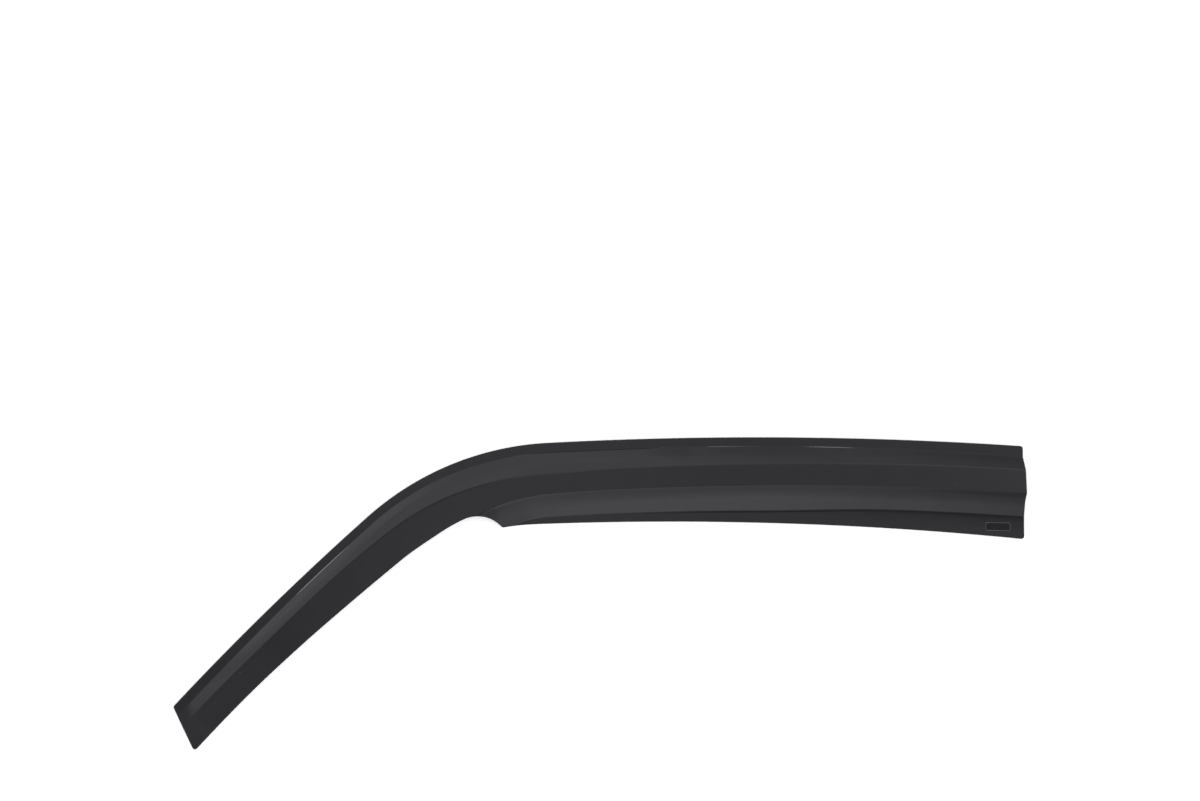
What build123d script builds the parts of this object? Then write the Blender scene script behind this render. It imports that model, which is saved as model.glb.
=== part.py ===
from build123d import *
import os
from math import degrees, radians, tan

# A window rain deflector for the left front door of a van: one sheet of dark acrylic, softened by heat,
# drawn over a mould and trimmed. It lies face up on its back. +X runs to the rear of the car, +Y up the door
# and +Z out of its face. The origin is at the centre of its box, on the plane of the flange's back.
# Sizes are millimetres and degrees. A station is a distance along the outer edge from the front tip.
# An offset is measured from the outer edge into the sheet, square to that edge. A softness is how far from
# its corner a bend begins and ends.

# Sheet
sheet_thickness = 3.0
back_skim = 0.1
rim_round = 0.7
corner_radius = 2.8

# Outer edge: up the windscreen pillar, round the bend and back along the roof
pillar_rake = 46.9
pillar_length = 287.7
pillar_bow_radius = 3200.0
bend_radius = 310.0
bend_angle = 38.7
roof_length = 504.1
roof_bow_radius = 4200.0

# Trimmed ends and lower edge
tip_width = 48.8
tip_cut_lean = 21.7
pillar_front_station = 53.0
pillar_front_width = 49.2
pillar_middle_station = 140.0
pillar_middle_width = 51.8
pillar_rear_station = 215.0
pillar_rear_width = 55.2
pillar_width = 58.3
bend_width = 59.7
bend_width_past_bend = 42.0
notch_past_bend = 92.5
notch_start_width = 58.5
notch_radius = 32.8
notch_sweep = 80.0
flare_past_bend = 188.0
flare_width = 84.8
roof_middle_width = 91.9
tail_width = 98.2
tail_cut_lean = 4.7

# Stretches along which the folds change
tip_station = 22.0
bend_front_past_bend = 62.0
bend_rear_past_bend = 140.0
roof_front_past_roof = 62.0
roof_rear_past_roof = 255.0
lip_front_before_tail = 280.0
lip_rear_before_tail = 130.0

# Flange, which beds in the window frame
flange_at_pillar_front = 10.2
flange_at_pillar_middle = 9.3
flange_at_pillar_rear = 8.6
flange_at_bend = 8.8
flange_at_roof = 11.0
flange_at_roof_middle = 10.4
flange_at_tail = 11.5
flange_softness = 1.0

# Shoulder: it climbs from the flange to a crease
crease_at_pillar_front = 22.2
crease_at_pillar_middle = 23.2
crease_at_pillar_rear = 23.5
crease_at_bend = 29.4
crease_at_roof = 33.2
crease_at_roof_front = 30.7
crease_at_roof_rear = 27.6
crease_at_tail = 24.6
crease_softness_at_pillar = 1.6
crease_softness_at_roof = 2.5

# Face: nearly level, and faded out to nothing toward the flat front tip
face_height_at_tip = 2.6
face_height_at_pillar_front = 4.5
face_height_at_pillar_middle = 8.7
face_height_at_roof = 11.0
face_height_at_tail = 11.8

# Roll: where the face turns down, from a plain bend at the notch to a sharp ridge at the tail. Up the pillar
# it lies outside the trimmed sheet
roll_at_bend_front = 70.0
roll_at_bend_rear = 57.2
roll_at_roof_front = 52.4
roll_at_tail = 48.8
roll_softness_at_bend = 1.8
roll_softness_at_middle = 1.4
roll_softness_at_tail = 0.6
ridge_rise = 3.1

# Skirt: from the roll down to the lip, bent once on its way, full at the front and hollow at the tail
waist_run_at_front = 13.0
waist_run_at_tail = 10.4
waist_height_at_front = 6.6
waist_height_at_tail = 5.8
waist_softness_at_front = 5.0
waist_softness_at_tail = 7.0

# Lip: level again, in the plane of the flange. Toward the tail it eases down to that level
lip_at_bend_front = 100.0
lip_at_bend_rear = 84.5
lip_at_roof = 78.2
lip_at_tail = 74.3
lip_softness = 1.8
lip_rise_at_tail = 0.8
lip_level_run = 14.0
lip_level_softness = 11.5

# Sheet round the part that is held while it is formed and then trimmed off, and how far the cut overruns
forming_margin = 18.0
trim_overrun = 5.0

# Sections that the forming follows, by stretch
tip_section_count = 6
pillar_section_count = 9
bend_section_count = 9
roof_section_count = 13

# Stations and widths that follow from the sizes
tip_corner_station = -tip_width * tan(radians(tip_cut_lean))
bend_station = pillar_length
bend_front = bend_station + bend_front_past_bend
bend_rear = bend_station + bend_rear_past_bend
roof_station = bend_station + bend_radius * radians(bend_angle)
roof_front = roof_station + roof_front_past_roof
roof_rear = roof_station + roof_rear_past_roof
tail_station = roof_station + roof_length
tail_corner_station = tail_station + tail_width * tan(radians(tail_cut_lean))
roof_middle = (roof_front + tail_station) / 2
lip_front = tail_station - lip_front_before_tail
lip_rear = tail_station - lip_rear_before_tail
sheet_width = max(tail_width, lip_at_bend_front + lip_level_run + lip_level_softness) + forming_margin


def outer_edge_arcs():
    """The three tangent arcs of the outer edge, in plan, from the front tip to the tail."""
    heading = Vector(1, 0, 0).rotate(Axis.Z, pillar_rake)
    pillar = JernArc((0, 0), heading, pillar_bow_radius, -degrees(pillar_length / pillar_bow_radius))
    bend = JernArc(pillar @ 1, pillar % 1, bend_radius, -bend_angle)
    roof = JernArc(bend @ 1, bend % 1, roof_bow_radius, -degrees(roof_length / roof_bow_radius))
    return [pillar, bend, roof]


outer_arcs = outer_edge_arcs()
outer_edge = Wire(outer_arcs)


def square_plane(station):
    """Plane square to the outer edge: its x runs into the sheet and its y runs up."""
    on_edge = min(max(station, 0.0), tail_station)
    origin = outer_edge.position_at(on_edge, position_mode=PositionMode.LENGTH)
    along = outer_edge.tangent_at(on_edge, position_mode=PositionMode.LENGTH)
    inward = along.rotate(Axis.Z, -90)
    upright = inward.cross(Vector(0, 0, 1))
    return Plane(origin + along * (station - on_edge), x_dir=inward, z_dir=upright)


def plan_point(station, offset):
    """Point in plan at a station and an offset."""
    return square_plane(station).from_local_coords((offset, 0, 0))


def eased(station, *marks):
    """Value at a station on a smooth line through (station, value) marks, level at both ends."""
    if station <= marks[0][0]:
        return marks[0][1]
    slopes = [(right[1] - left[1]) / (right[0] - left[0]) for left, right in zip(marks, marks[1:])]
    inner = [2 * p * q / (p + q) if p * q > 0 else 0.0 for p, q in zip(slopes, slopes[1:])]
    tangents = [0.0] + inner + [0.0]
    for index, (left, right) in enumerate(zip(marks, marks[1:])):
        if station <= right[0]:
            run = right[0] - left[0]
            t = (station - left[0]) / run
            rise = (right[1] - left[1]) * t * t * (3 - 2 * t)
            lean = run * t * (1 - t) * (tangents[index] * (1 - t) - tangents[index + 1] * t)
            return left[1] + rise + lean
    return marks[-1][1]


def section_corners(station):
    """Corners of the sheet's front at a station, each as its offset, height above the flange and softness."""
    flange = eased(
        station,
        (pillar_front_station, flange_at_pillar_front),
        (pillar_middle_station, flange_at_pillar_middle),
        (pillar_rear_station, flange_at_pillar_rear),
        (bend_front, flange_at_bend),
        (roof_station, flange_at_roof),
        (roof_middle, flange_at_roof_middle),
        (tail_station, flange_at_tail),
    )
    crease = eased(
        station,
        (pillar_front_station, crease_at_pillar_front),
        (pillar_middle_station, crease_at_pillar_middle),
        (pillar_rear_station, crease_at_pillar_rear),
        (bend_front, crease_at_bend),
        (roof_station, crease_at_roof),
        (roof_front, crease_at_roof_front),
        (roof_rear, crease_at_roof_rear),
        (tail_station, crease_at_tail),
    )
    crease_softness = eased(
        station,
        (pillar_middle_station, crease_softness_at_pillar),
        (bend_rear, crease_softness_at_roof),
    )
    face_height = eased(
        station,
        (tip_corner_station, 0.0),
        (tip_station, face_height_at_tip),
        (pillar_front_station, face_height_at_pillar_front),
        (pillar_middle_station, face_height_at_pillar_middle),
        (roof_station, face_height_at_roof),
        (tail_station, face_height_at_tail),
    )
    roll = eased(
        station,
        (bend_front, roll_at_bend_front),
        (bend_rear, roll_at_bend_rear),
        (roof_front, roll_at_roof_front),
        (tail_station, roll_at_tail),
    )
    roll_softness = eased(
        station,
        (bend_rear, roll_softness_at_bend),
        (roof_middle, roll_softness_at_middle),
        (tail_station, roll_softness_at_tail),
    )
    ridge = eased(station, (lip_front, 0.0), (tail_station, ridge_rise))
    waist_run = eased(station, (lip_front, waist_run_at_front), (tail_station, waist_run_at_tail))
    waist_height = eased(station, (lip_front, waist_height_at_front), (tail_station, waist_height_at_tail))
    waist_softness = eased(
        station,
        (lip_front, waist_softness_at_front),
        (tail_station, waist_softness_at_tail),
    )
    lip = eased(
        station,
        (bend_front, lip_at_bend_front),
        (bend_rear, lip_at_bend_rear),
        (roof_station, lip_at_roof),
        (lip_front, lip_at_roof),
        (lip_rear, lip_at_tail),
    )
    lip_rise = eased(station, (roof_front, 0.0), (tail_station, lip_rise_at_tail))
    formed_share = min(face_height / face_height_at_roof, 1.0)
    return [
        (flange, 0.0, flange_softness),
        (crease, face_height, crease_softness),
        (roll, face_height + ridge, roll_softness),
        (roll + waist_run, waist_height * formed_share, waist_softness),
        (lip, lip_rise, lip_softness),
        (lip + lip_level_run, 0.0, lip_level_softness),
    ]


def bent_line(corners, level):
    """A line across the sheet at a level, with each of its corners bent softly."""
    points = [Vector(-forming_margin, level)]
    points += [Vector(offset, level + height) for offset, height, softness in corners]
    points += [Vector(sheet_width, level)]
    edges = []
    last = points[0]
    for index, (offset, height, softness) in enumerate(corners, start=1):
        corner = points[index]
        entry = corner + (points[index - 1] - corner).normalized() * softness
        leave = corner + (points[index + 1] - corner).normalized() * softness
        edges.append(Line(last, entry))
        edges.append(Bezier(entry, corner, leave))
        last = leave
    edges.append(Line(last, points[-1]))
    return edges


def sheet_section(station):
    """Closed section of the formed sheet. The back lies straight below the front, as the mould draws it."""
    corners = section_corners(station)
    front = bent_line(corners, sheet_thickness)
    back = bent_line(corners, -back_skim)
    ends = [Line(front[0] @ 0, back[0] @ 0), Line(front[-1] @ 1, back[-1] @ 1)]
    return square_plane(station) * Wire(front + ends + back)


def spread(start, end, count):
    """Even stations from start up to, but not at, end."""
    return [start + (end - start) * step / count for step in range(count)]


def formed_sheet():
    """The whole formed sheet before trimming, lofted through its sections."""
    stations = [tip_corner_station - forming_margin]
    stations += spread(tip_corner_station, pillar_front_station, tip_section_count)
    stations += spread(pillar_front_station, bend_station, pillar_section_count)
    stations += spread(bend_station, roof_station, bend_section_count)
    stations += spread(roof_station, tail_station, roof_section_count)
    stations += [tail_station, tail_corner_station + forming_margin]
    return Solid.make_loft([sheet_section(station) for station in stations])


def trimming_cutter():
    """Upright prism on the trimmed outline, its corners rounded. Its foot skims the sheet's back flat."""
    tip_corner = plan_point(tip_corner_station, tip_width)
    tail_corner = plan_point(tail_corner_station, tail_width)
    pillar_lower = Spline(
        tip_corner,
        plan_point(pillar_front_station, pillar_front_width),
        plan_point(pillar_middle_station, pillar_middle_width),
        plan_point(pillar_rear_station, pillar_rear_width),
        plan_point(bend_station, pillar_width),
        plan_point(bend_station + bend_width_past_bend, bend_width),
        plan_point(bend_station + notch_past_bend, notch_start_width),
    )
    notch = JernArc(pillar_lower @ 1, pillar_lower % 1, notch_radius, -notch_sweep)
    roof_lower = ThreePointArc(
        plan_point(bend_station + flare_past_bend, flare_width),
        plan_point(roof_middle, roof_middle_width),
        tail_corner,
    )
    flare = TangentArc(roof_lower @ 0, notch @ 1, tangent=-(roof_lower % 0))
    tip_top = outer_arcs[0] @ 0
    tail_top = outer_arcs[-1] @ 1
    ends = [Line(tip_top, tip_corner), Line(tail_top, tail_corner)]
    outline = make_face(outer_arcs + ends + [pillar_lower, notch, flare, roof_lower])
    prism = extrude(outline, sheet_thickness + face_height_at_tail + ridge_rise + trim_overrun)
    uprights = prism.edges().filter_by(Axis.Z)
    corners = [tip_top, tip_corner, notch @ 1, tail_corner, tail_top]
    corner_edges = [uprights.sort_by_distance(corner)[0] for corner in corners]
    return fillet(corner_edges, corner_radius)


def front_rim(sheet):
    """Edges where the upright trimmed walls meet the front of the sheet."""
    level = 0.01
    walls = sheet.faces().filter_by(lambda face: abs(face.normal_at().Z) < level)
    fronts = sheet.faces().filter_by(lambda face: face.normal_at().Z > level)
    wall_edges = set(walls.edges())
    return [edge for edge in fronts.edges() if edge in wall_edges]


def polished(sheet):
    """The trimmed sheet with its front rim round, or still square where the rounding can't be made."""
    radius = min(rim_round, sheet_thickness / 3)
    try:
        return fillet(front_rim(sheet), radius)
    except ValueError:
        print("The front rim is left square.")
        return sheet


def deflector_shell():
    """The finished deflector: formed, trimmed to its outline, and its front rim polished."""
    shell = polished(formed_sheet() & trimming_cutter())
    centre = shell.bounding_box().center()
    return Pos(-centre.X, -centre.Y, 0) * shell


os.makedirs("parts", exist_ok=True)
export_step(deflector_shell(), "parts/deflector_shell.step")
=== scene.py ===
import math
import bmesh
import bpy
from mathutils import Matrix, Vector


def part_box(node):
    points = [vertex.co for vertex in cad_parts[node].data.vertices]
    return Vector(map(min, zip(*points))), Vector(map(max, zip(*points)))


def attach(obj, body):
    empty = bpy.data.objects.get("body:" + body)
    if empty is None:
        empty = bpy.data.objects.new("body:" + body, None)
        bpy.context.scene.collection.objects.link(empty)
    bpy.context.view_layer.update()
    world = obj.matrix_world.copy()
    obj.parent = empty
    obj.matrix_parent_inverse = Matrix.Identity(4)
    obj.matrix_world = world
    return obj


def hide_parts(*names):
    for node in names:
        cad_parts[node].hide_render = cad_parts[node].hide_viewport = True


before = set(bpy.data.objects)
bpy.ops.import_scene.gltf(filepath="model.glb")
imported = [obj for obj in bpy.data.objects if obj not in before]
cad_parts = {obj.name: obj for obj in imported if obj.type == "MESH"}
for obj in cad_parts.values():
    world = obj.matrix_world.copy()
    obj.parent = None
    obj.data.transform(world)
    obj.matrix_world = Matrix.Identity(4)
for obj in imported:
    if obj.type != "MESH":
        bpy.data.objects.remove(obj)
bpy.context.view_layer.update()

# Formed sheet
# The deflector is one sheet of very dark smoked acrylic, softened by heat and drawn over a mould, so that
# its front is a row of soft folds, and then trimmed by a router. It is held to the door's window frame by
# the flat flange along its outer edge.

sheet_thickness = 0.0030
pillar_rake = math.radians(46.9)
pillar_length = 0.2877
pillar_bow_radius = 3.2
bend_radius = 0.310
bend_angle = math.radians(38.7)
roof_length = 0.5041
roof_bow_radius = 4.2
tip_width = 0.0488
tip_cut = math.tan(math.radians(21.7))
tail_width = 0.0982
tail_cut = math.tan(math.radians(4.7))

outer_arcs = (
    (pillar_length, pillar_bow_radius),
    (bend_radius * bend_angle, bend_radius),
    (roof_length, roof_bow_radius),
)

# A station is a distance along the outer edge from the front tip. An offset is measured in from that edge.
tip_corner_station = -tip_width * tip_cut
bend_station = pillar_length
roof_station = bend_station + bend_radius * bend_angle
tail_station = roof_station + roof_length
tail_corner_station = tail_station + tail_width * tail_cut


def outer_edge(station):
    """Point and heading of the outer edge at a station, in plan."""
    on_edge = min(max(station, 0.0), tail_station)
    point = Vector((0.0, 0.0))
    heading = pillar_rake
    left = on_edge
    for run, radius in outer_arcs:
        step = min(left, run)
        half_turn = step / radius / 2
        chord = 2 * radius * math.sin(half_turn)
        point += chord * Vector((math.cos(heading - half_turn), math.sin(heading - half_turn)))
        heading -= 2 * half_turn
        left -= step
    along = Vector((math.cos(heading), math.sin(heading)))
    return point + along * (station - on_edge), along


def plan_point(station, offset):
    """Point in plan at a station and an offset."""
    point, along = outer_edge(station)
    return point + Vector((along.y, -along.x)) * offset


def eased(station, marks):
    """Value at a station on a smooth line through (station, value) marks, level at both ends."""
    if station <= marks[0][0]:
        return marks[0][1]
    slopes = [(right[1] - left[1]) / (right[0] - left[0]) for left, right in zip(marks, marks[1:])]
    inner = [2 * p * q / (p + q) if p * q > 0 else 0.0 for p, q in zip(slopes, slopes[1:])]
    tangents = [0.0] + inner + [0.0]
    for index, (left, right) in enumerate(zip(marks, marks[1:])):
        if station <= right[0]:
            run = right[0] - left[0]
            t = (station - left[0]) / run
            rise = (right[1] - left[1]) * t * t * (3 - 2 * t)
            lean = run * t * (1 - t) * (tangents[index] * (1 - t) - tangents[index + 1] * t)
            return left[1] + rise + lean
    return marks[-1][1]


tip_station = 0.022
pillar_front = 0.053
pillar_middle = 0.140
pillar_rear = 0.215
bend_front = bend_station + 0.062
bend_rear = bend_station + 0.140
bend_end = 0.445
roof_front = roof_station + 0.062
roof_quarter = roof_station + 0.143
roof_rear = roof_station + 0.255
roof_middle = (roof_front + tail_station) / 2
lip_front = tail_station - 0.280
lip_rear = tail_station - 0.130

# Flange and shoulder. A mark is a station with an offset, a height or, for the bulge, a share of the face's
# height. The shoulder leaves the flange by a short foot, steeper in three stretches, and it bulges more
# here than in the solid.
flange_line = (
    (pillar_front, 0.0102),
    (pillar_middle, 0.0096),
    (pillar_rear, 0.0089),
    (bend_front, 0.0088),
    (bend_end, 0.0103),
    (roof_station, 0.0098),
    (roof_front, 0.0098),
    (roof_quarter, 0.0092),
    (roof_middle, 0.0091),
    (tail_station, 0.0115),
)
flange_softness = 0.0004
foot_run = 0.0010
foot_step_line = (
    (0.155, 0.0),
    (0.190, 0.00012),
    (0.240, 0.00012),
    (0.290, 0.0),
    (0.455, 0.0),
    (0.490, 0.00090),
    (0.590, 0.00090),
    (0.647, 0.0),
    (0.670, 0.00025),
    (0.755, 0.00013),
    (0.790, 0.00020),
    (0.820, 0.00018),
    (0.845, 0.0),
)
even_shoulder = 0.5
shoulder_bulge_line = (
    (0.265, 0.05),
    (0.330, 0.13),
    (0.375, 0.10),
    (0.425, 0.05),
    (0.455, 0.06),
    (0.490, 0.12),
    (0.580, 0.12),
    (0.660, 0.05),
    (roof_rear, 0.05),
    (tail_station, 0.02),
)
shoulder_softness = 0.0035

# Crease, where the shoulder turns into the face, and the face up to its roll
crease_line = (
    (pillar_front, 0.0222),
    (pillar_middle, 0.0232),
    (pillar_rear, 0.0235),
    (bend_front, 0.0294),
    (roof_station, 0.0332),
    (roof_front, 0.0307),
    (roof_rear, 0.0276),
    (tail_station, 0.0246),
)
crease_softness_line = (
    (pillar_front, 0.0008),
    (pillar_middle, 0.0011),
    (bend_rear, 0.0020),
    (roof_front, 0.0016),
    (roof_rear, 0.0012),
)
face_height_at_roof = 0.0110
face_height_line = (
    (tip_corner_station, 0.0),
    (tip_station, 0.0031),
    (pillar_front, 0.0046),
    (pillar_middle, 0.0087),
    (roof_station, face_height_at_roof),
    (tail_station, 0.0118),
)
roll_line = ((bend_front, 0.0700), (bend_rear, 0.0572), (roof_front, 0.0524), (tail_station, 0.0488))
roll_softness_line = ((bend_rear, 0.0012), (roof_front, 0.0007), (tail_station, 0.0005))
ridge_height_line = ((lip_front, 0.0), (tail_station, 0.0031))

# Skirt, which bends at its waist and is up to 2 mm more hollow here than in the solid, and the lip below it
waist_run = 0.0094
waist_height_line = ((bend_rear, 0.0063), (roof_front, 0.0054), (tail_station, 0.0065))
waist_softness = 0.0070
lip_line = (
    (bend_front, 0.1000),
    (bend_rear, 0.0845),
    (roof_station, 0.0782),
    (lip_front, 0.0782),
    (lip_rear, 0.0743),
)
lip_height_line = ((roof_front, 0.0), (tail_station, 0.0008))
lip_softness = 0.0018
lip_level_run = 0.0140
lip_level_softness = 0.0115

forming_margin = 0.0180
sheet_width = lip_line[0][1] + lip_level_run + lip_level_softness + forming_margin


def folds(station):
    """Entry, corner and leave of each soft fold at a station, as offsets and heights above the flange."""
    face_height = eased(station, face_height_line)
    formed_share = min(face_height / face_height_at_roof, 1.0)
    flange = eased(station, flange_line)
    crease = eased(station, crease_line)
    shoulder = (flange + crease) / 2
    shoulder_height = face_height * (even_shoulder + eased(station, shoulder_bulge_line))
    foot_height = shoulder_height * foot_run / (shoulder - flange) + eased(station, foot_step_line)
    roll = eased(station, roll_line)
    roll_height = face_height + eased(station, ridge_height_line)
    waist_height = eased(station, waist_height_line) * formed_share
    lip = eased(station, lip_line)
    corners = [
        (Vector((-forming_margin, 0.0)), 0.0),
        (Vector((flange, 0.0)), flange_softness),
        (Vector((flange + foot_run, foot_height)), flange_softness),
        (Vector((shoulder, shoulder_height)), shoulder_softness),
        (Vector((crease, face_height)), eased(station, crease_softness_line)),
        (Vector((roll, roll_height)), eased(station, roll_softness_line)),
        (Vector((roll + waist_run, waist_height)), waist_softness),
        (Vector((lip, eased(station, lip_height_line))), lip_softness),
        (Vector((lip + lip_level_run, 0.0)), lip_level_softness),
        (Vector((sheet_width, 0.0)), 0.0),
    ]
    bends = []
    for (before, _), (corner, softness), (after, _) in zip(corners, corners[1:], corners[2:]):
        entry = corner + (before - corner).normalized() * softness
        leave = corner + (after - corner).normalized() * softness
        bends.append((entry, corner, leave))
    return bends


def front_height(bends, offset):
    """Height of the front above the flange at an offset, straight between the folds and curved in them."""
    last = Vector((-forming_margin, 0.0))
    for entry, corner, leave in bends:
        if offset <= entry.x:
            share = (offset - last.x) / (entry.x - last.x)
            return last.y + (entry.y - last.y) * share
        if offset <= leave.x:
            a = entry.x - 2 * corner.x + leave.x
            b = 2 * (corner.x - entry.x)
            c = entry.x - offset
            t = -2 * c / (b + math.sqrt(max(b * b - 4 * a * c, 0.0)))
            return entry.y * (1 - t) ** 2 + 2 * corner.y * t * (1 - t) + leave.y * t * t
        last = leave
    return 0.0


# Trimmed outline: the pillar's lower edge, the round notch, its flare and the long lower edge of the roof
notch_start = bend_station + 0.0925
notch_centre = plan_point(bend_station + 0.09533, 0.09123)
notch_radius = 0.0328
notch_corner = bend_station + 0.13856
flare_end = bend_station + 0.188
flare_width = 0.0848
roof_middle_width = 0.0919
pillar_lower_line = (
    (tip_corner_station, tip_width),
    (pillar_front, 0.0492),
    (pillar_middle, 0.0518),
    (pillar_rear, 0.0552),
    (bend_station, 0.0583),
    (bend_station + 0.042, 0.0597),
    (notch_start, 0.0585),
)


def circle_through(first, second, third):
    """Centre and radius of the circle through three points in plan."""
    b = second - first
    c = third - first
    twice_area = 2 * (b.x * c.y - b.y * c.x)
    across = Vector((c.y * b.dot(b) - b.y * c.dot(c), b.x * c.dot(c) - c.x * b.dot(b))) / twice_area
    return first + across, across.length


def offset_to_circle(station, centre, radius):
    """Offset at which the line square to the outer edge first meets a circle."""
    point, along = outer_edge(station)
    to_centre = centre - point
    beside = to_centre.dot(along)
    inward = to_centre.dot(Vector((along.y, -along.x)))
    return inward - math.sqrt(max(radius * radius - beside * beside, 0.0))


tip_corner = plan_point(tip_corner_station, tip_width)
tail_corner = plan_point(tail_corner_station, tail_width)
roof_lower_start = plan_point(flare_end, flare_width)
roof_lower_centre, roof_lower_radius = circle_through(
    roof_lower_start,
    plan_point(roof_middle, roof_middle_width),
    tail_corner,
)
notch_end = plan_point(notch_corner, offset_to_circle(notch_corner, notch_centre, notch_radius))
flare_normal = (roof_lower_centre - roof_lower_start).normalized()
flare_run = notch_end - roof_lower_start
flare_radius = flare_run.dot(flare_run) / (2 * flare_normal.dot(flare_run))
flare_centre = roof_lower_start + flare_normal * flare_radius


def lower_offset(station):
    """Offset of the lower edge: up the pillar, round the notch, over its flare and along the roof."""
    if station <= notch_start:
        return eased(station, pillar_lower_line)
    if station <= notch_corner:
        return offset_to_circle(station, notch_centre, notch_radius)
    if station <= flare_end:
        return offset_to_circle(station, flare_centre, flare_radius)
    return offset_to_circle(station, roof_lower_centre, roof_lower_radius)


end_lean_run = 0.060
width_tries = 4


def leaning(column, offset):
    """Station of a column's point at an offset. The columns lean over to the slanting cut at each end."""
    at_tip = max(1 - column / end_lean_run, 0.0)
    at_tail = max(1 - (tail_station - column) / end_lean_run, 0.0)
    return column + offset * (tail_cut * at_tail - tip_cut * at_tip)


def column_width(column):
    """Offset at which a column, which may lean, meets the lower edge."""
    width = lower_offset(column)
    for _ in range(width_tries):
        width = lower_offset(leaning(column, width))
    return width


# Rows of faces, close together at the rim and in the folds
rim_step = 0.0010
rim_rows = 3
tight_step = 0.0002
fold_steps = 6
foot_rows = 1
shoulder_rows = 1
crease_rows = 1
face_rows = 4
waist_rows = 1
skirt_rows = 3
lip_rows = 5


def spread(start, end, count):
    """Even values from start to end, both left out."""
    return [start + (end - start) * step / (count + 1) for step in range(1, count + 1)]


def fold_offsets(bend):
    """Offsets of the rows that follow one fold."""
    entry, corner, leave = bend
    shares = [step / fold_steps for step in range(fold_steps + 1)]
    return [entry.x * (1 - t) ** 2 + 2 * corner.x * t * (1 - t) + leave.x * t * t for t in shares]


def row_offsets(column):
    """Offsets of the rows of faces in a column. They keep to the folds that the trimmed sheet still has."""
    flange, foot, shoulder, crease, roll, waist, lip, _ = [fold_offsets(bend) for bend in folds(column)]
    width = column_width(column)
    end = leaning(column, width)
    slope = (lower_offset(end + rim_step) - lower_offset(end - rim_step)) / (2 * rim_step)
    rim = rim_step * math.sqrt(1 + slope * slope)
    last = width - rim_rows * rim
    upper = [step * rim_step for step in range(rim_rows + 1)] + flange
    upper += spread(flange[-1], foot[0], foot_rows) + foot
    upper += spread(foot[-1], shoulder[0], shoulder_rows) + shoulder
    upper += spread(shoulder[-1], crease[0], crease_rows) + crease
    folded = spread(crease[-1], roll[0], face_rows) + roll
    folded += spread(roll[-1], waist[0], waist_rows) + waist
    folded += spread(waist[-1], lip[0], skirt_rows) + lip
    folded += spread(lip[-1], max(last, lip[-1]), lip_rows)
    count = len(folded)
    settled = [min(offset, last - tight_step * (count - index)) for index, offset in enumerate(folded)]
    even = spread(upper[-1], last, count)
    share = eased(column, ((notch_start, 0.0), (flare_end, 1.0)))
    lower = [plain + (fold - plain) * share for plain, fold in zip(even, settled)]
    return upper + lower + [width - step * rim for step in range(rim_rows, -1, -1)]


# Columns of faces, close together at both ends and at the corner of the notch
column_pitch = 0.0025
end_columns = (0.0, 0.001, 0.002, 0.003, 0.0042, 0.0058)
corner_columns = (-0.005, -0.0038, -0.0028, -0.0019, -0.001, 0.0, 0.001, 0.0019, 0.0028, 0.0038, 0.005)


def column_run(start, end):
    """Columns about a pitch apart between two stations, both left out."""
    return spread(start, end, round((end - start) / column_pitch))


columns = list(end_columns)
columns += column_run(end_columns[-1], notch_corner + corner_columns[0])
columns += [notch_corner + step for step in corner_columns]
columns += column_run(notch_corner + corner_columns[-1], tail_station - end_columns[-1])
columns += [tail_station - step for step in reversed(end_columns)]

corner_radius = 0.0028
corner_reach = 4 * corner_radius
near = 0.003
round_slack = 0.001


def rounded_corner(corner, first, second):
    """Centre of a trimmed corner's round, the ways to where it begins and ends, and its turn."""
    one = (first - corner).normalized()
    two = (second - corner).normalized()
    half = one.angle(two) / 2
    centre = corner + (one + two).normalized() * corner_radius / math.sin(half)
    starts = [(corner + way * corner_radius / math.tan(half) - centre).normalized() for way in (one, two)]
    return centre, starts[0], starts[1], math.pi - 2 * half


def along_lower(station):
    """Point of the lower edge at a station."""
    return plan_point(station, lower_offset(station))


tip_top = plan_point(0.0, 0.0)
tail_top = plan_point(tail_station, 0.0)
rounds = (
    rounded_corner(tip_top, plan_point(near, 0.0), tip_corner),
    rounded_corner(tip_corner, tip_top, along_lower(tip_corner_station + near)),
    rounded_corner(notch_end, along_lower(notch_corner - near), along_lower(notch_corner + near)),
    rounded_corner(tail_corner, tail_top, along_lower(tail_corner_station - near)),
    rounded_corner(tail_top, plan_point(tail_station - near, 0.0), tail_corner),
)


def rounded(point):
    """A point in plan, drawn in where it lies in the wedge of a rounded corner."""
    for centre, first, second, turn in rounds:
        away = point - centre
        if 0 < away.length < corner_reach:
            to_first = away.angle(first)
            to_second = away.angle(second)
            if to_first + to_second < turn + round_slack:
                return centre + away * math.cos(min(to_first, to_second))
    return point


grid_half = 0.5
rows = [row_offsets(column) for column in columns]
last_column = len(columns) - 1
last_row = len(rows[0]) - 1
sheet_mesh = bmesh.new()
bmesh.ops.create_grid(sheet_mesh, x_segments=last_column, y_segments=last_row, size=grid_half)
rim_nearness = sheet_mesh.verts.layers.float.new("rim_nearness")
for vert in sheet_mesh.verts:
    column_index = round((vert.co.x + grid_half) * last_column)
    row_index = round((grid_half - vert.co.y) * last_row)
    offset = rows[column_index][row_index]
    station = leaning(columns[column_index], offset)
    plan = rounded(plan_point(station, offset))
    vert.co = (plan.x, plan.y, sheet_thickness + front_height(folds(station), offset))
    steps_in = min(row_index, last_row - row_index, column_index, last_column - column_index)
    vert[rim_nearness] = max(1 - steps_in / rim_rows, 0.0)


def mesh_span(mesh, axis):
    """Lowest and highest place of a mesh along an axis."""
    places = [vert.co[axis] for vert in mesh.verts]
    return min(places), max(places)


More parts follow.
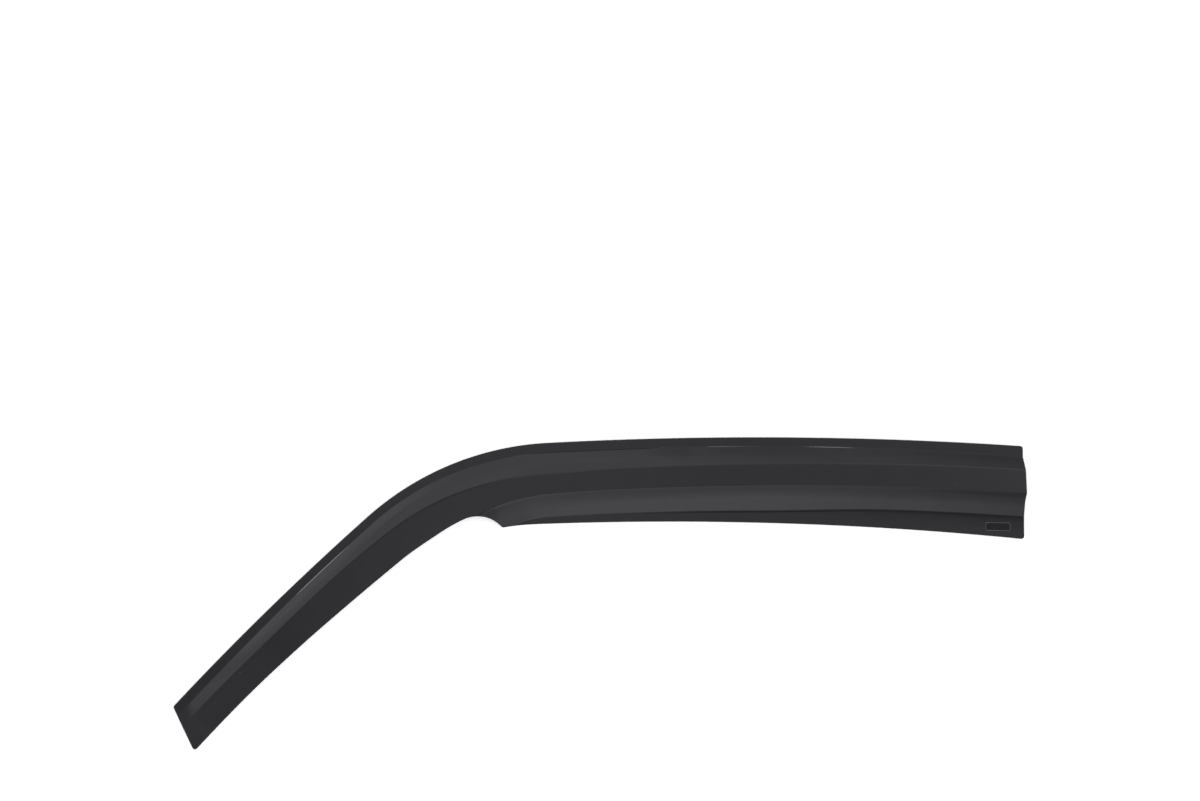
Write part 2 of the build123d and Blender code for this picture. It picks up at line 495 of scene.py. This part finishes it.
sheet_middle = Vector((sum(mesh_span(sheet_mesh, 0)) / 2, sum(mesh_span(sheet_mesh, 1)) / 2))
bmesh.ops.translate(sheet_mesh, verts=sheet_mesh.verts, vec=(-sheet_middle.x, -sheet_middle.y, 0.0))
sheet_back = bmesh.ops.extrude_face_region(
    sheet_mesh,
    geom=sheet_mesh.faces[:] + sheet_mesh.edges[:],
    use_keep_orig=True,
)
back_verts = [item for item in sheet_back["geom"] if isinstance(item, bmesh.types.BMVert)]
bmesh.ops.translate(sheet_mesh, verts=back_verts, vec=(0.0, 0.0, -sheet_thickness))
bmesh.ops.recalc_face_normals(sheet_mesh, faces=sheet_mesh.faces)

# The mesh is set in the solid's box, with a hair of slack so that rounding can't carry it past
box_slack = 0.000002
solid_low, solid_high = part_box("deflector_shell")
solid_size = solid_high - solid_low
solid_middle = (solid_low + solid_high) / 2
sheet_size = [high - low for low, high in (mesh_span(sheet_mesh, axis) for axis in range(3))]
snug = [min((solid - box_slack) / drawn, 1.0) for solid, drawn in zip(solid_size, sheet_size)]
bmesh.ops.scale(sheet_mesh, vec=snug, verts=sheet_mesh.verts)
bmesh.ops.translate(
    sheet_mesh,
    verts=sheet_mesh.verts,
    vec=(solid_middle.x, solid_middle.y, box_slack / 2),
)

front_rim_round = 0.0007
back_rim_round = 0.0003
rim_round_steps = 4
wall_lift = 0.02
sheet_lift = 0.30
on_rim = 0.99
gloss_place = 0
edge_place = 1


def rim_edges(side):
    """Edges where the upright trimmed wall meets the front, for a side of 1, or the back, for -1."""
    edges = []
    for edge in sheet_mesh.edges:
        flattest = min(abs(face.normal.z) for face in edge.link_faces)
        outward = max(side * face.normal.z for face in edge.link_faces)
        if flattest < wall_lift and outward > sheet_lift:
            edges.append(edge)
    return edges


for side, rim_round in ((1, front_rim_round), (-1, back_rim_round)):
    bmesh.ops.bevel(
        sheet_mesh,
        geom=rim_edges(side),
        offset=rim_round,
        offset_type="OFFSET",
        segments=rim_round_steps,
        profile=0.5,
        affect="EDGES",
        clamp_overlap=False,
        material=-1,
    )
sheet_mesh.normal_update()
for face in sheet_mesh.faces:
    face.smooth = True
    all_on_rim = min(vert[rim_nearness] for vert in face.verts) > on_rim
    face.material_index = edge_place if all_on_rim else gloss_place


def finished_piece(name, mesh):
    """Object made of a mesh that is already in its place."""
    data = bpy.data.meshes.new(name)
    mesh.to_mesh(data)
    mesh.free()
    piece = bpy.data.objects.new(name, data)
    bpy.context.collection.objects.link(piece)
    return piece


formed_sheet = finished_piece("formed_sheet", sheet_mesh)


def added(tree, kind, inputs, **settings):
    """A new node in a tree. Each of its inputs is set to a value or linked to another node's output."""
    node = tree.nodes.new(kind)
    for name, setting in settings.items():
        setattr(node, name, setting)
    for name, value in inputs.items():
        if isinstance(value, bpy.types.NodeSocket):
            tree.links.new(value, node.inputs[name])
        else:
            node.inputs[name].default_value = value
    return node


def worked_out(tree, operation, *values):
    """Output of a math node on two or three values, each a number or another node's output."""
    return added(tree, "ShaderNodeMath", dict(enumerate(values)), operation=operation).outputs["Value"]


def stepped(tree, value, span, low=0.0, high=1.0):
    """A value that goes from low to high as another goes through a span, and stays there."""
    start, end = span
    inputs = {"Value": value, "From Min": start, "From Max": end, "To Min": low, "To Max": high}
    return added(tree, "ShaderNodeMapRange", inputs).outputs["Result"]


def mixed(tree, share, first, second):
    """A colour between two colours, each fixed or another node's output."""
    node = added(tree, "ShaderNodeMix", {"Factor": share}, data_type="RGBA")
    # A Mix node has its sockets for colours at these places, behind those for numbers and vectors.
    first_socket = node.inputs[6]
    second_socket = node.inputs[7]
    mixed_socket = node.outputs[2]
    for socket, colour in ((first_socket, first), (second_socket, second)):
        if isinstance(colour, bpy.types.NodeSocket):
            tree.links.new(colour, socket)
        else:
            socket.default_value = colour
    return mixed_socket


def noise(tree, place, scale, detail):
    """Cloudy noise at a place, with so many blotches to the metre."""
    inputs = {"Vector": place, "Scale": scale, "Detail": detail}
    return added(tree, "ShaderNodeTexNoise", inputs).outputs["Fac"]


def relief(tree, height, strength, distance):
    """The normal of a surface that is raised by a height."""
    inputs = {"Height": height, "Strength": strength, "Distance": distance}
    return added(tree, "ShaderNodeBump", inputs).outputs["Normal"]


cloud_detail = 4.0
cloud_span = (0.30, 0.70)
scratch_turns = (0.35, 1.30, -0.55)
scratch_stretch = (1.0, 30.0, 30.0)
scratch_detail = 1.0
scratch_span = (0.70, 0.74)
scratched_patch_span = (0.46, 0.62)
speck_span = (0.03, 0.06)
speck_chance_span = (0.70, 0.72)


def surface_marks():
    """Node group of the marks that handling leaves on a surface: clouding, hairline scratches and dust."""
    group = bpy.data.node_groups.new("surface_marks", "ShaderNodeTree")
    for name in ("Cloud Scale", "Scratch Scale", "Dust Scale"):
        group.interface.new_socket(name, in_out="INPUT", socket_type="NodeSocketFloat")
    for name in ("Clouding", "Scratches", "Dust"):
        group.interface.new_socket(name, in_out="OUTPUT", socket_type="NodeSocketFloat")
    scales = group.nodes.new("NodeGroupInput").outputs
    place = group.nodes.new("ShaderNodeTexCoord").outputs["Object"]
    cloud = noise(group, place, scales["Cloud Scale"], cloud_detail)
    clouding = stepped(group, cloud, cloud_span)
    strokes = []
    for turn in scratch_turns:
        inputs = {"Vector": place, "Rotation": (0.0, 0.0, turn), "Scale": scratch_stretch}
        stretched = added(group, "ShaderNodeMapping", inputs).outputs["Vector"]
        stroke = noise(group, stretched, scales["Scratch Scale"], scratch_detail)
        strokes.append(stepped(group, stroke, scratch_span))
    two_ways = worked_out(group, "MAXIMUM", strokes[0], strokes[1])
    all_ways = worked_out(group, "MAXIMUM", two_ways, strokes[2])
    patches = stepped(group, cloud, scratched_patch_span)
    inputs = {"Vector": place, "Scale": scales["Dust Scale"]}
    cells = added(group, "ShaderNodeTexVoronoi", inputs).outputs
    chance = added(group, "ShaderNodeSeparateColor", {"Color": cells["Color"]}).outputs["Red"]
    specks = stepped(group, cells["Distance"], speck_span, 1.0, 0.0)
    dust = worked_out(group, "MULTIPLY", specks, stepped(group, chance, speck_chance_span))
    results = group.nodes.new("NodeGroupOutput").inputs
    group.links.new(clouding, results["Clouding"])
    group.links.new(worked_out(group, "MULTIPLY", all_ways, patches), results["Scratches"])
    group.links.new(dust, results["Dust"])
    return group


marks_group = surface_marks()
dust_colour = (0.16, 0.155, 0.15, 1.0)


def surface_material(name):
    """A new material, with its node tree and its shader."""
    material = bpy.data.materials.new(name)
    material.use_nodes = True
    tree = material.node_tree
    return material, tree, tree.nodes["Principled BSDF"]


def marks(tree, cloud_scale, scratch_scale, dust_scale):
    """The surface marks at the scales of one material, in marks to the metre."""
    inputs = {"Cloud Scale": cloud_scale, "Scratch Scale": scratch_scale, "Dust Scale": dust_scale}
    return added(tree, "ShaderNodeGroup", inputs, node_tree=marks_group).outputs


def dusted(tree, dust, share, colour):
    """A colour with specks of dust that cover it by a share."""
    return mixed(tree, worked_out(tree, "MULTIPLY", dust, share), colour, dust_colour)


clear_smoke = (0.0082, 0.0084, 0.0100, 1.0)
clouded_smoke = (0.0096, 0.0098, 0.0116, 1.0)
gloss_dust = 0.35
gloss_roughness = 0.072
cloud_dulling = 0.030
scratch_dulling = 0.10
dust_dulling = 0.25
rim_dulling = 0.10
wave_scale = 24.0
wave_detail = 1.0
peel_scale = 620.0
peel_detail = 2.0
peel_share = 0.006
scratch_share = -0.004
gloss_strength = 1.0
gloss_relief = 0.00020
gloss_ior = 1.50
gloss_tint = (0.987, 0.961, 1.0, 1.0)


def smoked_acrylic():
    """Polished acrylic: dark smoke, a clear gloss with faint clouding, hairlines and dust, a satin rim."""
    material, tree, gloss = surface_material("smoked_acrylic")
    place = tree.nodes.new("ShaderNodeTexCoord").outputs["Object"]
    found = marks(tree, cloud_scale=45.0, scratch_scale=28.0, dust_scale=130.0)
    rim = added(tree, "ShaderNodeAttribute", {}, attribute_name="rim_nearness").outputs["Fac"]
    smoke = mixed(tree, found["Clouding"], clear_smoke, clouded_smoke)
    tree.links.new(dusted(tree, found["Dust"], gloss_dust, smoke), gloss.inputs["Base Color"])
    clouded = worked_out(tree, "MULTIPLY_ADD", found["Clouding"], cloud_dulling, gloss_roughness)
    scratched = worked_out(tree, "MULTIPLY_ADD", found["Scratches"], scratch_dulling, clouded)
    dulled = worked_out(tree, "MULTIPLY_ADD", found["Dust"], dust_dulling, scratched)
    tree.links.new(worked_out(tree, "MULTIPLY_ADD", rim, rim_dulling, dulled), gloss.inputs["Roughness"])
    waves = noise(tree, place, wave_scale, wave_detail)
    peel = noise(tree, place, peel_scale, peel_detail)
    uneven = worked_out(tree, "MULTIPLY_ADD", peel, peel_share, waves)
    scored = worked_out(tree, "MULTIPLY_ADD", found["Scratches"], scratch_share, uneven)
    tree.links.new(relief(tree, scored, gloss_strength, gloss_relief), gloss.inputs["Normal"])
    gloss.inputs["IOR"].default_value = gloss_ior
    gloss.inputs["Specular Tint"].default_value = gloss_tint
    return material


cut_dark = (0.0070, 0.0068, 0.0080, 1.0)
cut_pale = (0.0125, 0.0122, 0.0140, 1.0)
cut_dust = 0.40
cut_roughness = 0.38
cut_clouding = 0.15
tool_stretch = (1.0, 1.0, 0.04)
tool_scale = 1500.0
tool_detail = 2.0
tool_strength = 0.6
tool_relief = 0.00003
cut_ior = 1.49
cut_shine = 0.18


def trimmed_edge():
    """The routed edge of the sheet: the same acrylic, matt, with upright tool marks."""
    material, tree, matt = surface_material("trimmed_edge")
    place = tree.nodes.new("ShaderNodeTexCoord").outputs["Object"]
    found = marks(tree, cloud_scale=160.0, scratch_scale=60.0, dust_scale=300.0)
    upright = added(tree, "ShaderNodeMapping", {"Vector": place, "Scale": tool_stretch}).outputs["Vector"]
    tool = noise(tree, upright, tool_scale, tool_detail)
    cut = mixed(tree, tool, cut_dark, cut_pale)
    tree.links.new(dusted(tree, found["Dust"], cut_dust, cut), matt.inputs["Base Color"])
    clouded = worked_out(tree, "MULTIPLY_ADD", found["Clouding"], cut_clouding, cut_roughness)
    tree.links.new(clouded, matt.inputs["Roughness"])
    tree.links.new(relief(tree, tool, tool_strength, tool_relief), matt.inputs["Normal"])
    matt.inputs["IOR"].default_value = cut_ior
    matt.inputs["Specular IOR Level"].default_value = cut_shine
    return material


formed_sheet.data.materials.append(smoked_acrylic())
formed_sheet.data.materials.append(trimmed_edge())
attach(formed_sheet, "root")
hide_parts("deflector_shell")

# Bare sticker
# A small vinyl sticker is stuck on the lip near the tail, level with the car and not along the slanting
# edge. It is satin black with a thin pale line printed round it.

sticker_length = 0.0275
sticker_width = 0.0095
sticker_thickness = 0.00010
sticker_lift = 0.00002
sticker_corner = 0.0008
sticker_corner_steps = 4
sticker_pitch = 0.0020
sticker_station = 0.9800
sticker_offset = 0.0867
sticker_turn = math.radians(2.4)
keyline_inset = 0.0005
keyline_width = 0.00022
keyline_sides = (keyline_inset, keyline_inset + keyline_width)
ground_place = 0
keyline_place = 1

sticker_mesh = bmesh.new()
bmesh.ops.create_grid(sticker_mesh, x_segments=1, y_segments=1, size=grid_half)
bmesh.ops.scale(sticker_mesh, vec=(sticker_length, sticker_width, 1.0), verts=sticker_mesh.verts)
bmesh.ops.bevel(
    sticker_mesh,
    geom=sticker_mesh.verts[:],
    offset=sticker_corner,
    offset_type="OFFSET",
    segments=sticker_corner_steps,
    profile=0.5,
    affect="VERTICES",
    material=-1,
)
for axis, length in enumerate((sticker_length, sticker_width)):
    cuts = [side * (length / 2 - inset) for side in (-1, 1) for inset in keyline_sides]
    cuts += spread(-length / 2, length / 2, round(length / sticker_pitch))
    cut_normal = Vector((0.0, 0.0, 0.0))
    cut_normal[axis] = 1.0
    for cut in cuts:
        bmesh.ops.bisect_plane(
            sticker_mesh,
            geom=sticker_mesh.verts[:] + sticker_mesh.edges[:] + sticker_mesh.faces[:],
            plane_co=cut_normal * cut,
            plane_no=cut_normal,
        )
for face in sticker_mesh.faces:
    middle = face.calc_center_median()
    from_border = min(sticker_length / 2 - abs(middle.x), sticker_width / 2 - abs(middle.y))
    in_keyline = keyline_sides[0] < from_border < keyline_sides[1]
    face.material_index = keyline_place if in_keyline else ground_place
sticker_top = bmesh.ops.extrude_face_region(sticker_mesh, geom=sticker_mesh.faces[:], use_keep_orig=True)
top_verts = [item for item in sticker_top["geom"] if isinstance(item, bmesh.types.BMVert)]
bmesh.ops.translate(sticker_mesh, verts=top_verts, vec=(0.0, 0.0, sticker_thickness))
bmesh.ops.recalc_face_normals(sticker_mesh, faces=sticker_mesh.faces)
bmesh.ops.rotate(
    sticker_mesh,
    verts=sticker_mesh.verts,
    cent=(0.0, 0.0, 0.0),
    matrix=Matrix.Rotation(sticker_turn, 3, "Z"),
)
for vert in sticker_mesh.verts:
    station = sticker_station + vert.co.x
    offset = sticker_offset - vert.co.y
    plan = plan_point(station, offset) - sheet_middle
    lip_height = sheet_thickness + front_height(folds(station), offset)
    vert.co = (plan.x, plan.y, lip_height + sticker_lift + vert.co.z)
bare_sticker = finished_piece("bare_sticker", sticker_mesh)

black_thin = (0.0060, 0.0060, 0.0075, 1.0)
black_full = (0.0095, 0.0095, 0.0115, 1.0)
black_shine = 0.25
pale_thin = (0.16, 0.16, 0.165, 1.0)
pale_full = (0.22, 0.22, 0.226, 1.0)
pale_shine = 0.40
vinyl_dust = 0.25
vinyl_roughness = 0.26
vinyl_clouding = 0.10
vinyl_scratching = 0.15
vinyl_strength = 0.5
vinyl_relief = 0.00001


def printed_vinyl(name, thin, full, shine):
    """Satin vinyl film, its ink a little uneven between two colours."""
    material, tree, satin = surface_material(name)
    found = marks(tree, cloud_scale=420.0, scratch_scale=90.0, dust_scale=500.0)
    ink = mixed(tree, found["Clouding"], thin, full)
    tree.links.new(dusted(tree, found["Dust"], vinyl_dust, ink), satin.inputs["Base Color"])
    clouded = worked_out(tree, "MULTIPLY_ADD", found["Clouding"], vinyl_clouding, vinyl_roughness)
    scratched = worked_out(tree, "MULTIPLY_ADD", found["Scratches"], vinyl_scratching, clouded)
    tree.links.new(scratched, satin.inputs["Roughness"])
    tree.links.new(relief(tree, found["Clouding"], vinyl_strength, vinyl_relief), satin.inputs["Normal"])
    satin.inputs["Specular IOR Level"].default_value = shine
    return material


bare_sticker.data.materials.append(printed_vinyl("black_ground", black_thin, black_full, black_shine))
bare_sticker.data.materials.append(printed_vinyl("pale_keyline", pale_thin, pale_full, pale_shine))
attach(bare_sticker, "root")

# Floor
# The deflector lies on matt white board over a light table, which fills the view. The board's fibres make
# it a little uneven, and its glow from below leaves only faint shadows.

floor_half = 60.0
floor_gap = 0.0002
board_thin = (0.945, 0.945, 0.945, 1.0)
board_full = (0.955, 0.955, 0.955, 1.0)
board_roughness = 0.9
board_shine = 0.1
board_glow = 0.33
glow_colour = (1.0, 1.0, 1.0, 1.0)
fibre_strength = 0.3
fibre_relief = 0.0001

floor_mesh = bmesh.new()
bmesh.ops.create_grid(floor_mesh, x_segments=1, y_segments=1, size=floor_half)
bmesh.ops.translate(floor_mesh, verts=floor_mesh.verts, vec=(0.0, 0.0, -floor_gap))
studio_floor = finished_piece("studio_floor", floor_mesh)
white_board, board_tree, board = surface_material("white_board")
fibres = marks(board_tree, cloud_scale=90.0, scratch_scale=60.0, dust_scale=200.0)["Clouding"]
board_tree.links.new(mixed(board_tree, fibres, board_thin, board_full), board.inputs["Base Color"])
board_tree.links.new(relief(board_tree, fibres, fibre_strength, fibre_relief), board.inputs["Normal"])
board.inputs["Roughness"].default_value = board_roughness
board.inputs["Specular IOR Level"].default_value = board_shine
board.inputs["Emission Color"].default_value = glow_colour
board.inputs["Emission Strength"].default_value = board_glow
studio_floor.data.materials.append(white_board)

# Light tent
# A white tent of soft light stands over the board, dimmer round the hole for the camera at its top and dark
# where its skirt meets the floor. Soft panels hang at the right and at the front left corner, two low lamps
# stand at the back, and a dark slot runs to the right just in front of the hole.

tent_colour = (1.0, 1.0, 1.0, 1.0)
right_angle = math.pi / 2
right_angle_degrees = 90
unplaced_stop = 0.5
tent = bpy.data.worlds.new("light_tent")
bpy.context.scene.world = tent
tent.use_nodes = True
tent_tree = tent.node_tree
tent_light = tent_tree.nodes["Background"]
tent_light.inputs["Color"].default_value = tent_colour
way = tent_tree.nodes.new("ShaderNodeTexCoord").outputs["Generated"]
ways = added(tent_tree, "ShaderNodeSeparateXYZ", {"Vector": way}).outputs


def tent_math(operation, *values):
    """Output of a math node in the tent."""
    return worked_out(tent_tree, operation, *values)


def tent_product(*values):
    """Product of several outputs in the tent."""
    product = values[0]
    for value in values[1:]:
        product = tent_math("MULTIPLY", product, value)
    return product


def tent_blend(share, first, second):
    """An output between two others."""
    rest = tent_math("SUBTRACT", 1.0, share)
    return tent_math("ADD", tent_product(first, rest), tent_product(second, share))


def tent_fade(value, span):
    """A soft step from 0 at the start of a span to 1 at its end."""
    start, end = span
    inputs = {"Value": value, "From Min": start, "From Max": end}
    return added(tent_tree, "ShaderNodeMapRange", inputs, interpolation_type="SMOOTHSTEP").outputs["Result"]


def tent_levels(fraction, stops):
    """Brightness along a fraction of a right angle, through (degrees, brightness) stops."""
    ramp = added(tent_tree, "ShaderNodeValToRGB", {"Fac": fraction})
    while len(ramp.color_ramp.elements) < len(stops):
        ramp.color_ramp.elements.new(unplaced_stop)
    for element, (degrees, _) in zip(ramp.color_ramp.elements, stops):
        element.position = degrees / right_angle_degrees
    for element, (_, level) in zip(ramp.color_ramp.elements, stops):
        element.color = (level, level, level, 1.0)
    return ramp.outputs["Color"]


toward_right = ways["X"]
toward_left = tent_math("MULTIPLY", ways["X"], -1.0)
toward_back = ways["Y"]
toward_front = tent_math("MULTIPLY", ways["Y"], -1.0)
down_from_top = tent_math("DIVIDE", tent_math("ARCCOSINE", ways["Z"]), right_angle)
front_lean = tent_math("DIVIDE", tent_math("ARCTAN2", toward_front, ways["Z"]), right_angle)

# Walls of the tent, by degrees down from its top
back_wall_levels = (
    (0, 0.63), (12, 0.63), (20, 0.73), (30, 0.90), (40, 0.98), (50, 1.05),
    (58, 0.95), (66, 0.79), (76, 0.66), (84, 0.47), (90, 0.34),
)
left_wall_levels = (
    (0, 0.49), (13, 0.49), (16, 0.41), (17.5, 0.41), (19.5, 0.48), (31, 0.50), (35, 0.98), (46, 1.06),
    (52, 0.99), (58, 0.96), (64, 1.07), (70, 1.26), (75, 1.18), (81, 0.80), (90, 0.42),
)
right_wall_levels = (
    (0, 0.59), (12, 0.59), (20, 0.67), (30, 0.80), (40, 0.87), (50, 0.90),
    (56, 0.81), (61, 0.67), (70, 0.60), (84, 0.42), (90, 0.31),
)
front_wall_levels = (
    (0, 0.63), (12, 0.63), (20, 0.80), (28, 1.08), (36, 1.32), (43, 1.33), (50, 1.16),
    (58, 0.97), (65, 0.84), (72, 0.75), (78, 0.68), (84, 0.48), (90, 0.30),
)
left_wall_span = (0.10, 0.20)
right_wall_span = (0.0, 0.06)
right_return_span = (0.12, 0.18)
right_return = -0.6
front_wall_span = (0.30, 0.50)
front_shade_span = (0.08, 0.26)
front_shade = -0.43

left_share = tent_fade(toward_left, left_wall_span)
right_share = tent_product(
    tent_fade(toward_right, right_wall_span),
    tent_math("MULTIPLY_ADD", tent_fade(toward_right, right_return_span), right_return, 1.0),
)
front_share = tent_fade(toward_front, front_wall_span)
back_wall = tent_levels(down_from_top, back_wall_levels)
left_wall = tent_levels(down_from_top, left_wall_levels)
right_wall = tent_levels(down_from_top, right_wall_levels)
front_wall = tent_product(
    tent_levels(down_from_top, front_wall_levels),
    tent_math("MULTIPLY_ADD", tent_fade(toward_right, front_shade_span), front_shade, 1.0),
)
side_walls = tent_blend(left_share, tent_blend(right_share, back_wall, right_wall), left_wall)
round_wall = tent_blend(front_share, side_walls, front_wall)

# Panels, lamps and slot
right_panel_levels = ((0, 0.0), (25, 0.0), (42, 1.8), (62, 1.8), (76, 0.4), (90, 0.0))
right_panel_span = (0.40, 0.70)
corner_panel_levels = ((0, 0.0), (25, 0.0), (42, 1.6), (62, 1.6), (76, 0.4), (90, 0.0))
corner_panel_left_span = (0.30, 0.50)
corner_panel_front_span = (0.25, 0.45)
low_lamp_levels = ((0, 0.0), (79, 0.0), (81, 1.0), (85, 1.0), (87, 0.0), (90, 0.0))
low_lamp_back_span = (0.35, 0.50)
left_lamp_span = (0.55, 0.70)
left_lamp_power = 7.0
right_lamp_start_span = (0.035, 0.055)
right_lamp_end_span = (0.195, 0.170)
right_lamp_power = 4.0
slot_levels = ((0, 0.0), (7, 0.0), (12, 0.72), (24, 0.72), (32, 0.0), (90, 0.0))
slot_span = (0.0, 0.08)

right_panel = tent_product(
    tent_levels(down_from_top, right_panel_levels),
    tent_fade(toward_right, right_panel_span),
)
corner_panel = tent_product(
    tent_levels(down_from_top, corner_panel_levels),
    tent_fade(toward_left, corner_panel_left_span),
    tent_fade(toward_front, corner_panel_front_span),
)
left_lamp = tent_product(tent_fade(toward_left, left_lamp_span), left_lamp_power)
right_lamp = tent_product(
    tent_fade(toward_right, right_lamp_start_span),
    tent_fade(toward_right, right_lamp_end_span),
    right_lamp_power,
)
low_lamps = tent_product(
    tent_levels(down_from_top, low_lamp_levels),
    tent_fade(toward_back, low_lamp_back_span),
    tent_math("ADD", left_lamp, right_lamp),
)
panels = tent_math("ADD", tent_math("ADD", right_panel, corner_panel), low_lamps)
front_slot = tent_product(
    tent_levels(front_lean, slot_levels),
    tent_fade(toward_right, slot_span),
)
tent_strength = tent_product(
    tent_math("ADD", round_wall, panels),
    tent_math("SUBTRACT", 1.0, front_slot),
)
tent_tree.links.new(tent_strength, tent_light.inputs["Strength"])

# Camera
# A camera with a plain lens hangs over the board and looks straight down through the hole in the tent, with
# the deflector in the lower half of its view.

camera_lens = 50.0
camera_sensor = 36.0
camera_place = (0.0012, 0.2042, 1.7663)
camera_data = bpy.data.cameras.new("camera")
camera_data.lens = camera_lens
camera_data.sensor_width = camera_sensor
camera = bpy.data.objects.new("camera", camera_data)
camera.location = camera_place
bpy.context.collection.objects.link(camera)
bpy.context.scene.camera = camera
bpy.context.scene.view_settings.view_transform = "Standard"
